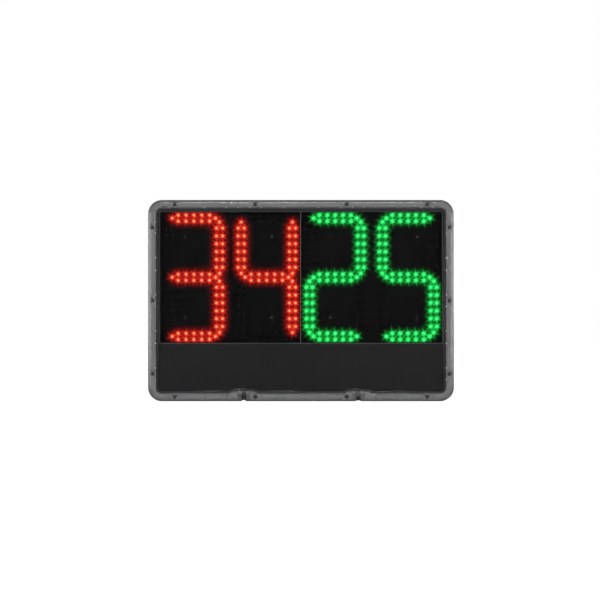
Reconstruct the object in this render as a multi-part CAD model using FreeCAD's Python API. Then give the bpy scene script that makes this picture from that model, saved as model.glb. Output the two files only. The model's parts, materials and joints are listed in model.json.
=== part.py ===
import FreeCAD
import Part
import math
import os

# A hand-held electronic player-substitution board. Millimetres.
# X runs to the right as the display is read, Y from the display to the back, Z up.
# The origin is on the floor, under the middle of the board, in the plane where
# the two frame halves meet.

Vec = FreeCAD.Vector
overrun = 1.0
match_tolerance = 0.001

# Straight facets of round pieces, of a full turn along an outline and of the rounded edge
cover_screw_sides = 8
small_screw_sides = 6
port_sides = 12
cell_sides = 16
turn_sides = 20
edge_steps = 4

# LED digits: each segment is two rows of square lamps that close to one lamp at each end
led_size = 7.6
led_height = 5.8
led_pitch = 15.9
led_row_gap = 12.5
led_end_gap = 12.2
corner_gap = 8.0
across_pairs = 5
upright_pairs = 6
digit_gap = 23.7
digit_side_margin = 6.05
digit_top_margin = 2.05

# Display boards and the tray that carries them
pcb_thickness = 1.6
board_gap = 0.25
board_screw_shift = 4.0
board_screw_span_x = 176.0
board_screw_span_z = 163.4
carrier_wall = 2.0
divider_wall = 2.4
carrier_floor = 2.4
carrier_gap = 1.5
standoff_height = 3.0
standoff_radius = 4.0
carrier_boss_height = 4.0
carrier_boss_radius = 4.5
carrier_boss_shares = (0.12, 0.88)
carrier_boss_x_share = 0.8
wiring_depth = 9.0
led_clearance = 2.7

# Frame halves
rim_width = 16.0
wall = 3.0
corner_radius = 28.0
least_corner = 1.0
edge_round = 7.0
lip_chamfer = 0.8
ledge_width = 5.0
ledge_thickness = 2.5
rib_thickness = 1.5
rib_relief = 1.0
boss_radius = 5.2
screw_setback = 3.5
web_width = 3.0
rib_spread = 11.7

# Places along the rim, as shares of the half width or half height they follow
edge_screw_shares = (0.298, 0.8245)
edge_rib_shares = (0.112, 0.412, 0.486, 0.631)
side_screw_shares = (0.0, 0.726)
side_rib_shares = (0.303, 0.424)
port_share = 0.374

# Port swellings and scallops on the bottom edge
bump_rise = 4.3
bump_top = 36.0
bump_ramp = 15.0
scallop_half_width = 5.15
scallop_depth = 2.75
port_block_half = 12.0

# Window, back panel and seals
window_recess = 3.0
window_thickness = 2.5
back_thickness = 3.0
fit_gap = 0.3
seal_thickness = 1.0
seal_setback = 0.4

# Sponsor panel
sponsor_height = 94.6
sponsor_thickness = 1.5
sponsor_gap = 0.3
sponsor_edge_gap = 0.8
sponsor_top_gap = 0.2
sponsor_lip = 3.0

# Fasteners
screw_shank_radius = 1.5
screw_head_radius = 3.6
screw_head_height = 3.0
screw_hole_gap = 0.2
screw_thread_gap = 0.05
counterbore_gap = 0.4
counterbore_extra = 0.6
cover_screw_grip = 8.0
small_shank_radius = 1.25
small_head_radius = 2.6
small_head_height = 1.7
small_screw_grip = 5.0
pilot_extra = 1.0

# Keypad
key_columns = 6
key_rows = 2
key_pitch_x = 27.0
key_pitch_z = 25.0
key_width = 19.0
key_height = 17.0
key_corner = 2.5
key_chamfer = 0.8
key_proud = 2.0
key_side_gap = 0.4
key_flange_overhang = 1.5
key_flange_thickness = 1.2
key_flange_gap = 0.1
key_travel = 1.2
key_stem_radius = 1.6
key_stem_gap = 0.15
key_stem_entry = 0.6
keypad_rim_width = 2.0
keypad_rim_height = 1.0
keypad_margin = 4.0
switch_size = 7.0
switch_height = 4.2
switch_floor = 1.2
switch_relief = 1.7

# Control board
post_radius = 3.5
post_margin = 5.0
control_edge = 1.0
control_bay_gap = 4.6
header_length = 10.0
header_height = 8.0
header_wall = 1.4
ribbon_width = 22.0
ribbon_thickness = 0.9
ribbon_header_height = 7.0
ribbon_header_wall = 1.5
ribbon_offset = 20.5
ribbon_rise = 30.0
ribbon_slot_gap = 2.0

# Battery compartment
cell_diameter = 18.4
cell_length = 65.0
cell_gap = 0.3
cells_along = 2
cells_across = 2
tray_wall = 1.6
tray_gap = 1.0
tray_clear = 26.0
door_thickness = 1.8
contact_thickness = 0.4
contact_size = 9.0
door_lip = 9.0
door_gap = 0.3
door_corner = 4.0
door_screw_inset = 4.2
door_boss_radius = 3.2
door_boss_height = 6.0

# Charging socket and power button, both upright cylinders in the bottom rim
port_radius = 4.7
port_gap = 0.1
port_mouth_gap = 0.45
port_end_gap = 0.3
port_collar_radius = 6.0
port_collar_height = 2.0
port_collar_lift = 5.8
socket_bore_radius = 2.95
socket_bore_depth = 9.5
socket_pin_radius = 1.0
socket_pin_setback = 1.0
button_radius = 3.2
button_gap = 0.1
button_recess = 1.0
button_travel = 1.5
button_neck = 3.7
button_flange_radius = 3.9
button_flange_height = 1.5
lead_radius = 1.2
lead_gap = 0.3
lead_setback = 2.9
lead_notch_half = 3.0
lead_bend_share = 0.45

# Worked-out sizes of a digit, a display board and its pocket
across_reach = (across_pairs - 1) * led_pitch / 2 + led_end_gap
upright_reach = (upright_pairs - 1) * led_pitch / 2 + led_end_gap
column_offset = across_reach + corner_gap
row_offset = 2 * (upright_reach + corner_gap)
digit_half_width = column_offset + (led_row_gap + led_size) / 2
digit_half_height = row_offset + (led_row_gap + led_size) / 2
digit_offset = digit_half_width + digit_gap / 2
board_width = 2 * (digit_offset + digit_half_width + digit_side_margin)
board_height = 2 * (digit_half_height + digit_top_margin)
pocket_width = board_width + 2 * board_gap
pocket_height = board_height + 2 * board_gap

# Insets from the outer edge, and the overall size that they add up to
ledge_inset = rim_width + ledge_width
carrier_inset = ledge_inset + carrier_gap
pocket_inset = carrier_inset + carrier_wall
sponsor_inset = ledge_inset + sponsor_edge_gap
overall_width = 2 * (pocket_inset + pocket_width) + carrier_wall
carrier_z = ledge_inset + bump_rise + carrier_gap
bay_z = carrier_z + carrier_wall
post_x = key_columns * key_pitch_x / 2 + post_margin - post_radius / 2
post_z = key_rows * key_pitch_z / 2
control_half_width = post_x + post_radius + control_edge
control_half_height = post_z + small_head_radius + 2 * control_edge + header_height
keypad_z = bay_z + control_bay_gap + control_half_height
control_top_z = keypad_z + control_half_height
sponsor_top_z = sponsor_inset + sponsor_height
sponsor_seat_z = sponsor_top_z + sponsor_top_gap
divider_z = max(sponsor_seat_z, control_top_z + control_bay_gap + sponsor_lip)
pocket_z = divider_z + divider_wall
overall_height = pocket_z + pocket_height + pocket_inset
half_width = overall_width / 2
half_height = overall_height / 2
screw_inset = rim_width - wall - screw_setback
board_x = (carrier_wall + pocket_width) / 2
board_z = pocket_z + pocket_height / 2
port_x = port_share * half_width

# Depth stations, from the display side to the back
board_stack = led_clearance + led_height + pcb_thickness + standoff_height
display_stack = board_stack + carrier_floor + wiring_depth
tray_depth = tray_wall + 2 * cell_gap + cell_diameter
battery_stack = sponsor_gap + sponsor_thickness + tray_gap + tray_depth
inner_depth = max(display_stack, battery_stack)
overall_depth = 2 * window_recess + window_thickness + inner_depth + back_thickness
front_y = -overall_depth / 2
back_y = overall_depth / 2
window_y = front_y + window_recess
inside_y = window_y + window_thickness
board_y = inside_y + led_clearance + led_height
floor_y = inside_y + board_stack
carrier_back_y = floor_y + carrier_floor
sponsor_y = inside_y + sponsor_gap
sponsor_back_y = sponsor_y + sponsor_thickness
panel_y = back_y - window_recess
panel_inner_y = panel_y - back_thickness
front_ledge_y = inside_y + seal_thickness
back_ledge_y = panel_inner_y - seal_thickness
head_seat_y = front_y + screw_head_height + counterbore_extra
carrier_boss_y = carrier_back_y + carrier_boss_height

# Key, switch and control board stations, counted forward from the back panel, and screw tips
flange_y = panel_inner_y - key_flange_gap
flange_front_y = flange_y - key_flange_thickness
switch_top_y = flange_front_y - key_travel - switch_relief
control_back_y = switch_top_y - switch_height
control_y = control_back_y - pcb_thickness
board_tip_y = board_y + pcb_thickness + small_screw_grip
control_tip_y = control_back_y + small_screw_grip
door_tip_y = panel_y - door_thickness - small_screw_grip

# Battery tray and door, beside the control board
pack_length = cells_along * cell_length + (cells_along - 1) * cell_gap + 2 * contact_thickness
pack_height = cells_across * cell_diameter + (cells_across + 1) * cell_gap
tray_half_length = pack_length / 2 + tray_wall
tray_half_height = pack_height / 2 + tray_wall
tray_x = control_half_width + tray_clear + tray_half_length
tray_y = panel_inner_y - tray_depth
door_half_length = pack_length / 2 + door_lip
door_half_height = pack_height / 2 + door_lip

# Port stations, up from the floor
port_mouth_z = scallop_depth + port_mouth_gap
port_end_z = rim_width - wall + bump_rise - port_end_gap
lead_y = -lead_setback
collar_z = port_mouth_z + port_collar_lift
button_neck_z = port_mouth_z + button_neck
header_depth = control_y - lead_y + lead_radius + header_wall
header_z = keypad_z - control_half_height + header_height / 2
ribbon_y = control_back_y + ribbon_header_wall


def block(x0, x1, y0, y1, z0, z1):
    return Part.makeBox(x1 - x0, y1 - y0, z1 - z0, Vec(x0, y0, z0))


def rod(radius, sides, start, run):
    corners = []
    for index in range(sides + 1):
        angle = math.pi * (2 * index + 1) / sides
        corners.append(Vec(radius * math.cos(angle), radius * math.sin(angle), 0))
    solid = Part.Face(Part.makePolygon(corners)).extrude(Vec(0, 0, run.Length))
    solid.Placement = FreeCAD.Placement(start, FreeCAD.Rotation(Vec(0, 0, 1), run))
    return solid


def rod_y(radius, sides, y0, y1, x, z):
    return rod(radius, sides, Vec(x, y0, z), Vec(0, y1 - y0, 0))


def rod_z(radius, z0, z1, x, y):
    return rod(radius, port_sides, Vec(x, y, z0), Vec(0, 0, z1 - z0))


def rods(points, radius, y0, y1, sides=small_screw_sides):
    return [rod_y(radius, sides, y0, y1, x, z) for x, z in points]


def prism(wire, y0, y1):
    face = Part.Face(wire)
    face.translate(Vec(0, y0, 0))
    return face.extrude(Vec(0, y1 - y0, 0))


def arc_about(centre, radius, start_deg, end_deg):
    steps = math.ceil(abs(end_deg - start_deg) * turn_sides / 360)
    points = []
    for index in range(steps + 1):
        angle = math.radians(start_deg + (end_deg - start_deg) * index / steps)
        points.append(centre + Vec(radius * math.cos(angle), 0, radius * math.sin(angle)))
    return Part.makePolygon(points)


def joined(arcs):
    edges = []
    for arc, following in zip(arcs, arcs[1:] + arcs[:1]):
        edges += arc.Edges
        start = arc.Vertexes[-1].Point
        stop = following.Vertexes[0].Point
        if start.distanceToPoint(stop) > match_tolerance:
            edges.append(Part.makeLine(start, stop))
    return Part.Wire(edges)


def rounded_outline(x0, x1, z0, z1, radius):
    corners = (
        (x1 - radius, z0 + radius, -90),
        (x1 - radius, z1 - radius, 0),
        (x0 + radius, z1 - radius, 90),
        (x0 + radius, z0 + radius, 180),
    )
    return joined([arc_about(Vec(x, 0, z), radius, start, start + 90) for x, z, start in corners])


def corner_at(inset):
    return max(corner_radius - inset, least_corner)


def outline(inset):
    reach = half_width - inset
    return rounded_outline(-reach, reach, inset, overall_height - inset, corner_at(inset))


def bump_arcs(x, z):
    turn = 2 * math.atan2(bump_rise, bump_ramp)
    radius = bump_ramp / (2 * math.sin(turn))
    sweep = math.degrees(turn)
    foot = bump_top / 2 + bump_ramp
    top = bump_top / 2
    low = z + radius
    high = z + bump_rise - radius
    return [
        arc_about(Vec(x - foot, 0, low), radius, -90, -90 + sweep),
        arc_about(Vec(x - top, 0, high), radius, 90 + sweep, 90),
        arc_about(Vec(x + top, 0, high), radius, 90, 90 - sweep),
        arc_about(Vec(x + foot, 0, low), radius, -90 - sweep, -90),
    ]


def bumped_outline(inset):
    radius = corner_at(inset)
    reach = half_width - inset - radius
    low = inset + radius
    high = overall_height - inset - radius
    arcs = bump_arcs(-port_x, inset) + bump_arcs(port_x, inset)
    for x, z, start in ((reach, low, -90), (reach, high, 0), (-reach, high, 90), (-reach, low, 180)):
        arcs.append(arc_about(Vec(x, 0, z), radius, start, start + 90))
    return joined(arcs)


def lofted(sections):
    wires = []
    for wire, y in sections:
        wire.translate(Vec(0, y, 0))
        wires.append(wire)
    return Part.makeLoft(wires, True, True)


def rounded_slab():
    sections = []
    for step in range(edge_steps + 1):
        angle = math.pi / 2 * step / edge_steps
        inset = edge_round * (1 - math.sin(angle))
        sections.append((outline(inset), front_y + edge_round * (1 - math.cos(angle))))
    return lofted(sections + [(outline(0), 0)])


def ring(outer_inset, inner_inset, y0, y1):
    inner = prism(bumped_outline(inner_inset), y0 - overrun, y1 + overrun)
    return prism(bumped_outline(outer_inset), y0, y1).cut(inner)


def edges_at(shape, y):
    found = []
    for edge in shape.Edges:
        box = edge.BoundBox
        if max(abs(box.YMin - y), abs(box.YMax - y)) < match_tolerance:
            found.append(edge)
    return found


def both_signs(share):
    return (-share, share) if share else (share,)


def rim_strip(side, along, width, inner_reach, y0, y1):
    low = along - width / 2
    high = along + width / 2
    if side == "top":
        return block(low, high, y0, y1, overall_height - inner_reach, overall_height)
    if side == "bottom":
        return block(low, high, y0, y1, 0, inner_reach)
    if side == "left":
        return block(-half_width, -half_width + inner_reach, y0, y1, low, high)
    return block(half_width - inner_reach, half_width, y0, y1, low, high)


def rim_places(edge_shares, side_shares):
    places = []
    for side in ("top", "bottom"):
        for share in edge_shares:
            places += [(side, sign * half_width) for sign in both_signs(share)]
    for side in ("left", "right"):
        for share in side_shares:
            places += [(side, half_height + sign * half_height) for sign in both_signs(share)]
    return places


def rim_point(side, along):
    points = {
        "top": (along, overall_height - screw_inset),
        "bottom": (along, screw_inset),
        "left": (-half_width + screw_inset, along),
        "right": (half_width - screw_inset, along),
    }
    return points[side]


screw_places = rim_places(edge_screw_shares, side_screw_shares)
screw_points = [rim_point(side, along) for side, along in screw_places]


def port_cut():
    radius = (scallop_half_width ** 2 + scallop_depth ** 2) / (2 * scallop_depth)
    tools = []
    for x in (-port_x, port_x):
        tools.append(rod_y(radius, turn_sides, front_y - overrun, back_y + overrun,
                           x, scallop_depth - radius))
        tools.append(rod_z(port_radius + port_gap, 0, port_end_z + port_end_gap, x, 0))
        tools.append(rod_z(port_collar_radius + port_gap, collar_z - port_gap,
                           collar_z + port_collar_height + port_gap, x, 0))
    return tools


def bosses():
    solids = []
    for side, along in screw_places:
        x, z = rim_point(side, along)
        solids.append(rod_y(boss_radius, cover_screw_sides, front_y, overrun, x, z))
        solids.append(rim_strip(side, along, web_width, screw_inset, front_y, overrun))
    for x in (-port_x, port_x):
        solids.append(rim_strip("bottom", x, 2 * port_block_half, rim_width + bump_rise, front_y, overrun))
    return solids


def ribs():
    places = rim_places(edge_rib_shares, side_rib_shares)
    for side, along in screw_places:
        places += [(side, along - rib_spread), (side, along + rib_spread)]
    return [rim_strip(side, along, rib_thickness, rim_width + bump_rise, front_y, -rib_relief)
            for side, along in places]


def frame_shell(ledge_y, kept):
    shell = rounded_slab()
    chamber = lofted([
        (outline(edge_round), front_y + wall),
        (outline(wall), front_y + edge_round),
        (outline(wall), overrun),
    ])
    chamber = chamber.cut(prism(bumped_outline(rim_width - wall), front_y, back_y)).cut(kept)
    lip_y = front_y + lip_chamfer
    tools = [
        lofted([(bumped_outline(rim_width - lip_chamfer), front_y), (bumped_outline(rim_width), lip_y)]),
        prism(bumped_outline(rim_width), front_y, ledge_y),
        prism(bumped_outline(ledge_inset), front_y, overrun),
        prism(bumped_outline(rim_width), ledge_y + ledge_thickness, overrun),
    ]
    return shell.cut(chamber).cut(tools).cut(port_cut()).removeSplitter()


def front_frame():
    frame = frame_shell(front_ledge_y, bosses() + ribs())
    counterbore = screw_head_radius + counterbore_gap
    hole = screw_shank_radius + screw_hole_gap
    tools = rods(screw_points, counterbore, front_y - overrun, head_seat_y, cover_screw_sides)
    tools += rods(screw_points, hole, front_y, overrun, cover_screw_sides)
    half = lead_radius + lead_gap
    for x in (-port_x, port_x):
        tools.append(block(x - half, x + half, lead_y - half, lead_y + half,
                           port_end_z, rim_width + bump_rise + overrun))
    return frame.cut(tools)


def rear_frame():
    frame = frame_shell(-back_ledge_y, bosses()).mirror(Vec(0, 0, 0), Vec(0, 1, 0))
    pilot = screw_shank_radius + screw_thread_gap
    return frame.cut(rods(screw_points, pilot, -overrun, cover_screw_grip + pilot_extra, cover_screw_sides))


def pane(y0, y1):
    return prism(bumped_outline(rim_width + fit_gap), y0, y1)


def pane_seal(y0, y1):
    return ring(rim_width + fit_gap, ledge_inset - seal_setback, y0, y1)


def screws(points, sizes, head_y, tip_y):
    shank_radius, head_radius, head_height, sides = sizes
    away = 1 if head_y > tip_y else -1
    head_span = sorted((head_y, head_y + away * head_height))
    shank_span = sorted((head_y, tip_y))
    group = []
    for x, z in points:
        head = rod_y(head_radius, sides, *head_span, x, z)
        group.append(head.fuse(rod_y(shank_radius, sides, *shank_span, x, z)))
    return group


cover_screw_sizes = (screw_shank_radius, screw_head_radius, screw_head_height, cover_screw_sides)
small_screw_sizes = (small_shank_radius, small_head_radius, small_head_height, small_screw_sides)


# Fastening points of the display boards, carrier, control board and battery door
board_points = [
    (side * (board_x + board_screw_shift) + dx * board_screw_span_x / 2,
     board_z + dz * board_screw_span_z / 2)
    for side in (-1, 1) for dx in (-1, 1) for dz in (-1, 1)
]
carrier_points = [
    (sign * carrier_boss_x_share * half_width, pocket_z + share * pocket_height)
    for sign in (-1, 0, 1) for share in carrier_boss_shares
]
control_points = [(dx * post_x, keypad_z + dz * post_z) for dx in (-1, 1) for dz in (-1, 1)]
door_points = [
    (tray_x + dx * (door_half_length - door_screw_inset),
     keypad_z + dz * (door_half_height - door_screw_inset))
    for dx in (-1, 1) for dz in (-1, 1)
]


ribbon_x = board_x + board_screw_shift - board_screw_span_x / 2 - ribbon_offset


def ribbon_block(sign, half, y0, y1, z0, z1):
    x = sign * ribbon_x
    return block(x - half, x + half, y0, y1, z0, z1)


ribbon_plug_half = ribbon_width / 2 + ribbon_header_wall
ribbon_top_z = pocket_z + ribbon_rise
ribbon_plug_y = ribbon_y + ribbon_thickness + ribbon_header_wall


def display_carrier():
    reach = half_width - carrier_inset
    inner = half_width - pocket_inset
    top = overall_height - carrier_inset
    outer = rounded_outline(-reach, reach, carrier_z, top, corner_at(carrier_inset))
    carrier = prism(outer, sponsor_y, carrier_back_y)
    hollow = prism(outline(pocket_inset), sponsor_y - overrun, floor_y)
    tools = []
    for x0, x1 in ((-inner, -carrier_wall / 2), (carrier_wall / 2, inner)):
        tools.append(hollow.common(block(x0, x1, front_y, back_y, pocket_z, overall_height)))
    tools.append(block(-inner, inner, front_y, back_y, bay_z, sponsor_seat_z - sponsor_lip))
    tools.append(block(-inner, inner, floor_y, back_y, bay_z, divider_z - sponsor_lip))
    tools.append(block(-half_width, half_width, front_y, sponsor_back_y, 0, sponsor_seat_z))
    for x in (-port_x, port_x):
        tools.append(block(x - lead_notch_half, x + lead_notch_half, front_y, lead_y + lead_notch_half,
                           0, bay_z + overrun))
    for sign in (-1, 1):
        tools.append(ribbon_block(sign, ribbon_plug_half + ribbon_slot_gap, floor_y - overrun,
                                  carrier_back_y + overrun, ribbon_top_z - ribbon_slot_gap,
                                  ribbon_top_z + ribbon_header_height + ribbon_slot_gap))
    carrier = carrier.cut(tools)
    carrier = carrier.fuse(rods(board_points, standoff_radius, board_y + pcb_thickness, carrier_back_y))
    carrier = carrier.fuse(rods(carrier_points, carrier_boss_radius, floor_y, carrier_boss_y))
    pilot = small_shank_radius + screw_thread_gap
    holes = rods(board_points, pilot, board_y, carrier_back_y + overrun)
    holes += rods(carrier_points, pilot, carrier_boss_y - small_screw_grip - pilot_extra, back_y)
    return carrier.cut(holes).removeSplitter()


def display_board(side):
    inner = carrier_wall / 2 + board_gap
    outer = half_width - pocket_inset - board_gap
    x0, x1 = sorted((side * inner, side * outer))
    low = pocket_z + board_gap
    sheet = prism(outline(pocket_inset + board_gap), board_y, board_y + pcb_thickness)
    board = sheet.common(block(x0, x1, front_y, back_y, low, overall_height))
    return board.cut(rods(board_points, small_shank_radius + screw_hole_gap, front_y, back_y))


def segment_places(pairs, reach):
    places = [(-reach, 0), (reach, 0)]
    for index in range(pairs):
        along = (index - (pairs - 1) / 2) * led_pitch
        places += [(along, -led_row_gap / 2), (along, led_row_gap / 2)]
    return places


def digit_places():
    places = []
    for row in (-row_offset, 0, row_offset):
        places += [(along, row + across) for along, across in segment_places(across_pairs, across_reach)]
    for column in (-column_offset, column_offset):
        for middle in (-row_offset / 2, row_offset / 2):
            places += [(column + across, middle + along)
                       for along, across in segment_places(upright_pairs, upright_reach)]
    return places


def lamp(x, z):
    half = led_size / 2
    return block(x - half, x + half, board_y - led_height, board_y, z - half, z + half)


def digit(side, place):
    middle = side * board_x + place * digit_offset
    return [lamp(middle + x, board_z + z) for x, z in digit_places()]


def sponsor_panel():
    sheet = prism(bumped_outline(sponsor_inset), sponsor_y, sponsor_back_y)
    return sheet.common(block(-half_width, half_width, front_y, back_y, 0, sponsor_top_z))


# Keys, numbered as they are read from behind, where X runs to the left
key_names = (
    ("number_key_1", "number_key_2", "number_key_3", "number_key_4", "number_key_5", "out_key"),
    ("number_key_6", "number_key_7", "number_key_8", "number_key_9", "number_key_0", "in_key"),
)


def key_points():
    points = {}
    for row, names in enumerate(key_names):
        for column, name in enumerate(names):
            x = ((key_columns - 1) / 2 - column) * key_pitch_x
            z = keypad_z + ((key_rows - 1) / 2 - row) * key_pitch_z
            points[name] = (x, z)
    return points


def clipped_block(x, z, half_x, half_z, corner, y0, y1):
    ends = ((half_x, half_z - corner), (half_x - corner, half_z))
    corners = []
    for sx, sz, order in ((1, 1, 1), (-1, 1, -1), (-1, -1, 1), (1, -1, -1)):
        corners += [Vec(x + sx * dx, 0, z + sz * dz) for dx, dz in ends[::order]]
    return prism(Part.makePolygon(corners + corners[:1]), y0, y1)


def key(x, z):
    top_y = panel_y + key_proud
    cap = clipped_block(x, z, key_width / 2, key_height / 2, key_corner, flange_front_y, top_y)
    cap = cap.makeChamfer(key_chamfer, edges_at(cap, top_y))
    flange = block(x - key_width / 2 - key_flange_overhang, x + key_width / 2 + key_flange_overhang,
                   flange_front_y, flange_y,
                   z - key_height / 2 - key_flange_overhang, z + key_height / 2 + key_flange_overhang)
    stem = block(x - key_stem_radius, x + key_stem_radius, switch_top_y - key_stem_entry, flange_y,
                 z - key_stem_radius, z + key_stem_radius)
    return cap.fuse([flange, stem]).removeSplitter()


def key_switch(x, z):
    half = switch_size / 2
    bore = key_stem_radius + key_stem_gap
    housing = block(x - half, x + half, control_back_y, switch_top_y, z - half, z + half)
    return housing.cut(block(x - bore, x + bore, control_back_y + switch_floor, switch_top_y + overrun,
                             z - bore, z + bore))


def control_board():
    board = block(-control_half_width, control_half_width, control_y, control_back_y,
                  keypad_z - control_half_height, control_top_z)
    return board.cut(rods(control_points, small_shank_radius + screw_hole_gap, front_y, back_y))


def control_connectors():
    solids = []
    for side, z in ((-1, header_z), (1, header_z), (1, keypad_z)):
        x0, x1 = sorted((side * control_half_width, side * (control_half_width - header_length)))
        solids.append(block(x0, x1, control_y - header_depth, control_y,
                            z - header_height / 2, z + header_height / 2))
    for sign in (-1, 1):
        solids.append(ribbon_block(sign, ribbon_plug_half, control_back_y, ribbon_plug_y,
                                   control_top_z - ribbon_header_height, control_top_z))
    return solids


def display_connectors():
    return [ribbon_block(sign, ribbon_plug_half, board_y + pcb_thickness, ribbon_plug_y,
                         ribbon_top_z, ribbon_top_z + ribbon_header_height) for sign in (-1, 1)]


def ribbon(sign):
    return ribbon_block(sign, ribbon_width / 2, ribbon_y, ribbon_y + ribbon_thickness,
                        control_top_z, ribbon_top_z)


def back_panel():
    panel = pane(panel_inner_y, panel_y)
    rim_x = (key_columns - 1) * key_pitch_x / 2 + key_width / 2 + keypad_margin
    rim_z = (key_rows - 1) * key_pitch_z / 2 + key_height / 2 + keypad_margin
    raised_y = panel_y + keypad_rim_height
    rim = clipped_block(0, keypad_z, rim_x + keypad_rim_width, rim_z + keypad_rim_width,
                        key_corner + keypad_rim_width, panel_inner_y, raised_y)
    rim = rim.cut(clipped_block(0, keypad_z, rim_x, rim_z, key_corner, panel_y, back_y))
    pieces = [rim]
    pieces += rods(control_points, post_radius, control_back_y, panel_y)
    pieces += rods(carrier_points, carrier_boss_radius, carrier_boss_y, panel_y)
    door_seat_y = panel_y - door_thickness
    pieces += rods(door_points, door_boss_radius, panel_inner_y - door_boss_height, door_seat_y)
    tools = []
    for x, z in key_points().values():
        tools.append(clipped_block(x, z, key_width / 2 + key_side_gap, key_height / 2 + key_side_gap,
                                   key_corner, panel_inner_y - overrun, back_y))
    tools.append(prism(rounded_outline(tray_x - door_half_length, tray_x + door_half_length,
                                       keypad_z - door_half_height, keypad_z + door_half_height,
                                       door_corner),
                       door_seat_y, back_y))
    tools.append(block(tray_x - pack_length / 2, tray_x + pack_length / 2, panel_inner_y - overrun, back_y,
                       keypad_z - pack_height / 2, keypad_z + pack_height / 2))
    pilot = small_shank_radius + screw_thread_gap
    tools += rods(control_points, pilot, control_back_y - overrun, control_tip_y + pilot_extra)
    tools += rods(carrier_points, small_shank_radius + screw_hole_gap, front_y, back_y)
    tools += rods(door_points, pilot, door_tip_y - pilot_extra, back_y)
    return panel.fuse(pieces).cut(tools).removeSplitter()


def battery_tray():
    tray = block(tray_x - tray_half_length, tray_x + tray_half_length, tray_y, panel_inner_y,
                 keypad_z - tray_half_height, keypad_z + tray_half_height)
    return tray.cut(block(tray_x - pack_length / 2, tray_x + pack_length / 2, tray_y + tray_wall, back_y,
                          keypad_z - pack_height / 2, keypad_z + pack_height / 2))


def cell_heights():
    return [keypad_z + (index - (cells_across - 1) / 2) * (cell_diameter + cell_gap)
            for index in range(cells_across)]


def battery_cells():
    start = tray_x - pack_length / 2 + contact_thickness
    middle_y = tray_y + tray_wall + cell_gap + cell_diameter / 2
    cells = []
    for z in cell_heights():
        for index in range(cells_along):
            x = start + index * (cell_length + cell_gap)
            cells.append(rod(cell_diameter / 2, cell_sides, Vec(x, middle_y, z), Vec(cell_length, 0, 0)))
    return cells


def battery_contacts():
    middle_y = tray_y + tray_wall + cell_gap + cell_diameter / 2
    half = contact_size / 2
    plates = []
    for x0 in (tray_x - pack_length / 2, tray_x + pack_length / 2 - contact_thickness):
        for z in cell_heights():
            plates.append(block(x0, x0 + contact_thickness, middle_y - half, middle_y + half,
                                z - half, z + half))
    return plates


def battery_door():
    half_x = door_half_length - door_gap
    half_z = door_half_height - door_gap
    door = prism(rounded_outline(tray_x - half_x, tray_x + half_x, keypad_z - half_z, keypad_z + half_z,
                                 door_corner - door_gap), panel_y - door_thickness, panel_y)
    return door.cut(rods(door_points, small_shank_radius + screw_hole_gap, front_y, back_y))


def port_body(x):
    body = rod_z(port_radius, port_mouth_z, port_end_z, x, 0)
    return body.fuse(rod_z(port_collar_radius, collar_z, collar_z + port_collar_height, x, 0))


def charge_socket():
    top = port_mouth_z + socket_bore_depth
    return port_body(-port_x).cut(rod_z(socket_bore_radius, port_mouth_z - overrun, top, -port_x, 0))


def charge_pin():
    top = port_mouth_z + socket_bore_depth
    return rod_z(socket_pin_radius, port_mouth_z + socket_pin_setback, top, -port_x, 0)


def power_switch():
    bore = rod_z(button_radius + button_gap, port_mouth_z - overrun, button_neck_z + button_gap, port_x, 0)
    top = button_neck_z + button_flange_height + button_travel + button_gap
    room = rod_z(button_flange_radius + button_gap, button_neck_z - button_gap, top, port_x, 0)
    return port_body(port_x).cut([bore, room])


def power_button():
    top = button_neck_z + button_flange_height
    stem = rod_z(button_radius, button_recess, button_neck_z, port_x, 0)
    return stem.fuse(rod_z(button_flange_radius, button_neck_z, top, port_x, 0))


def port_lead(side):
    run_x = port_x - control_half_width
    run_z = header_z - port_end_z
    bend = lead_bend_share * min(run_x, run_z)
    turn = Vec(side * (port_x - bend), 0, header_z - bend)
    start = 0 if side > 0 else 180
    x = side * control_half_width
    outer = arc_about(turn, bend + lead_radius, start, 90)
    inner = arc_about(turn, bend - lead_radius, 90, start)
    end = Part.makeLine(Vec(x, 0, header_z + lead_radius), Vec(x, 0, header_z - lead_radius))
    foot = Part.makeLine(Vec(side * (port_x - lead_radius), 0, port_end_z),
                         Vec(side * (port_x + lead_radius), 0, port_end_z))
    return prism(joined([outer, end, inner, foot]), lead_y - lead_radius, lead_y + lead_radius)


def battery_lead():
    return block(control_half_width, tray_x - tray_half_length, lead_y - lead_radius, lead_y + lead_radius,
                 keypad_z - lead_radius, keypad_z + lead_radius)


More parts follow.
